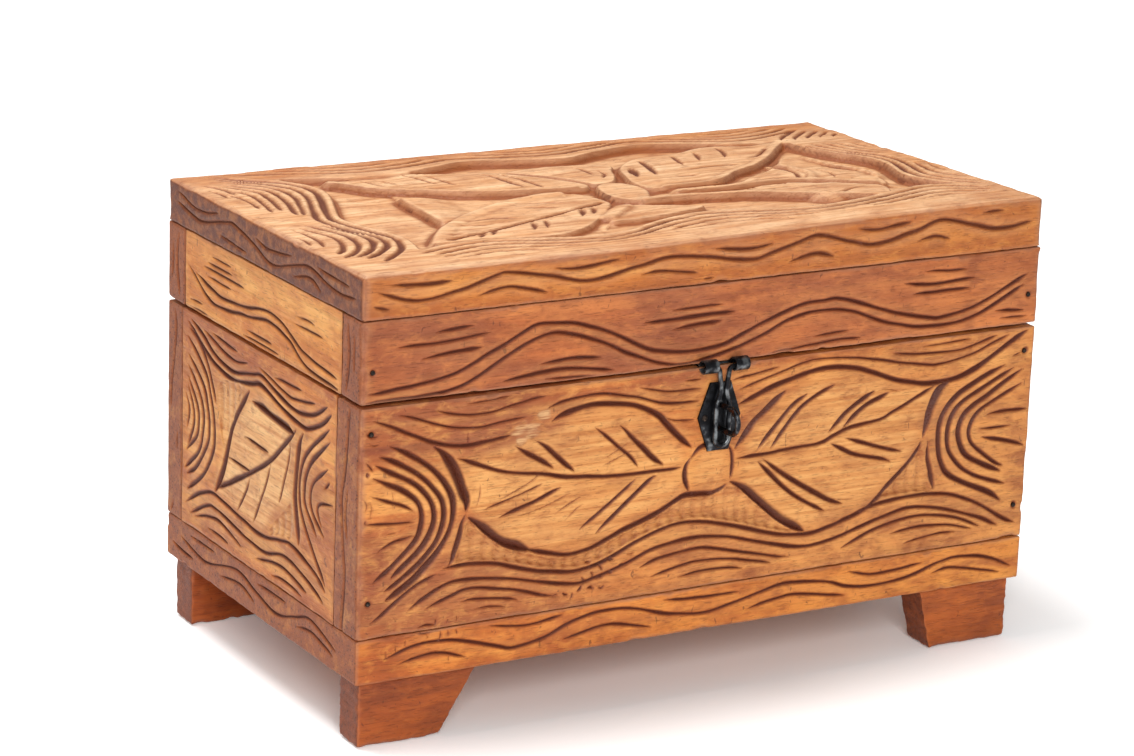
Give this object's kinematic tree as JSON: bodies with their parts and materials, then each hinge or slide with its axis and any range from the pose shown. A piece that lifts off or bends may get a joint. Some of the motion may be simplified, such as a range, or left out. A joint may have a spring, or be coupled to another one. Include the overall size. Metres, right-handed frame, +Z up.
{
  "type": "carved wooden box",
  "caption": "Carved wooden box on slanted feet, with a hinged lid, leaf and wave carving, and a wire hasp over a staple.",
  "frame": {"origin": "on the floor, under the middle of the whole outline, which the staple lengthens in front and the hinge barrels behind", "axes": "+Z up, +X along the front to the right, +Y from the front towards the hinges"},
  "size_m": [0.45, 0.2816, 0.2761],
  "materials": {
    "carved_wood": "hand-carved, oiled, brown stain left in the grooves",
    "top_wood": "hand-carved and rubbed paler on the raised parts",
    "foot_wood": "rough sawn, stained dark red brown",
    "black_iron": "blackened sheet and wire, rubbed bright on its edges",
    "nail_steel": "dull steel wire nails"
  },
  "bodies": {
    "case": {"front_board": "carved_wood", "back_board": "carved_wood", "left_board": "carved_wood", "right_board": "carved_wood", "bottom_board": "carved_wood", "foot_front_left": "foot_wood", "foot_front_right": "foot_wood", "foot_back_left": "foot_wood", "foot_back_right": "foot_wood", "staple_plate": "black_iron", "staple": "black_iron", "hinge_case_leaf_left": "black_iron", "hinge_case_leaf_right": "black_iron", "hinge_pin_left": "black_iron", "hinge_pin_right": "black_iron", "case_nail_front_left_1": "nail_steel", "case_nail_front_left_2": "nail_steel", "case_nail_front_right_1": "nail_steel", "case_nail_front_right_2": "nail_steel", "case_nail_back_left_1": "nail_steel", "case_nail_back_left_2": "nail_steel", "case_nail_back_right_1": "nail_steel", "case_nail_back_right_2": "nail_steel", "bottom_nail_front_left": "nail_steel", "bottom_nail_front_right": "nail_steel", "bottom_nail_back_left": "nail_steel", "bottom_nail_back_right": "nail_steel", "foot_front_left_nail": "nail_steel", "foot_front_right_nail": "nail_steel", "foot_back_left_nail": "nail_steel", "foot_back_right_nail": "nail_steel", "staple_plate_nail_left": "black_iron", "staple_plate_nail_right": "black_iron", "hinge_case_nail_left_a": "black_iron", "hinge_case_nail_left_b": "black_iron", "hinge_case_nail_right_a": "black_iron", "hinge_case_nail_right_b": "black_iron"},
    "lid": {"lid_front_board": "carved_wood", "lid_back_board": "carved_wood", "lid_left_board": "carved_wood", "lid_right_board": "carved_wood", "lid_top_board": "top_wood", "hasp_hinge_leaf": "black_iron", "hinge_lid_leaf_left": "black_iron", "hinge_lid_leaf_right": "black_iron", "lid_nail_front_left_1": "nail_steel", "lid_nail_front_right_1": "nail_steel", "lid_nail_back_left_1": "nail_steel", "lid_nail_back_right_1": "nail_steel", "top_nail_front_left": "nail_steel", "top_nail_front_right": "nail_steel", "top_nail_back_left": "nail_steel", "top_nail_back_right": "nail_steel", "hasp_leaf_nail_left": "black_iron", "hasp_leaf_nail_right": "black_iron", "hinge_lid_nail_left_a": "black_iron", "hinge_lid_nail_left_b": "black_iron", "hinge_lid_nail_right_a": "black_iron", "hinge_lid_nail_right_b": "black_iron"},
    "hasp": {"hasp_loop": "black_iron"}
  },
  "joints": [
    {"name": "lid_hinge", "type": "hinge", "parent": "case", "child": "lid", "pos_m": [0, 0.1374, 0.1983], "axis": [-1, 0, 0], "range_deg": [0, 180]},
    {"name": "hasp_swing", "type": "hinge", "parent": "lid", "child": "hasp", "pos_m": [0.003, -0.1227, 0.1973], "axis": [-1, 0, 0], "range_deg": [0, 175]}
  ]
}
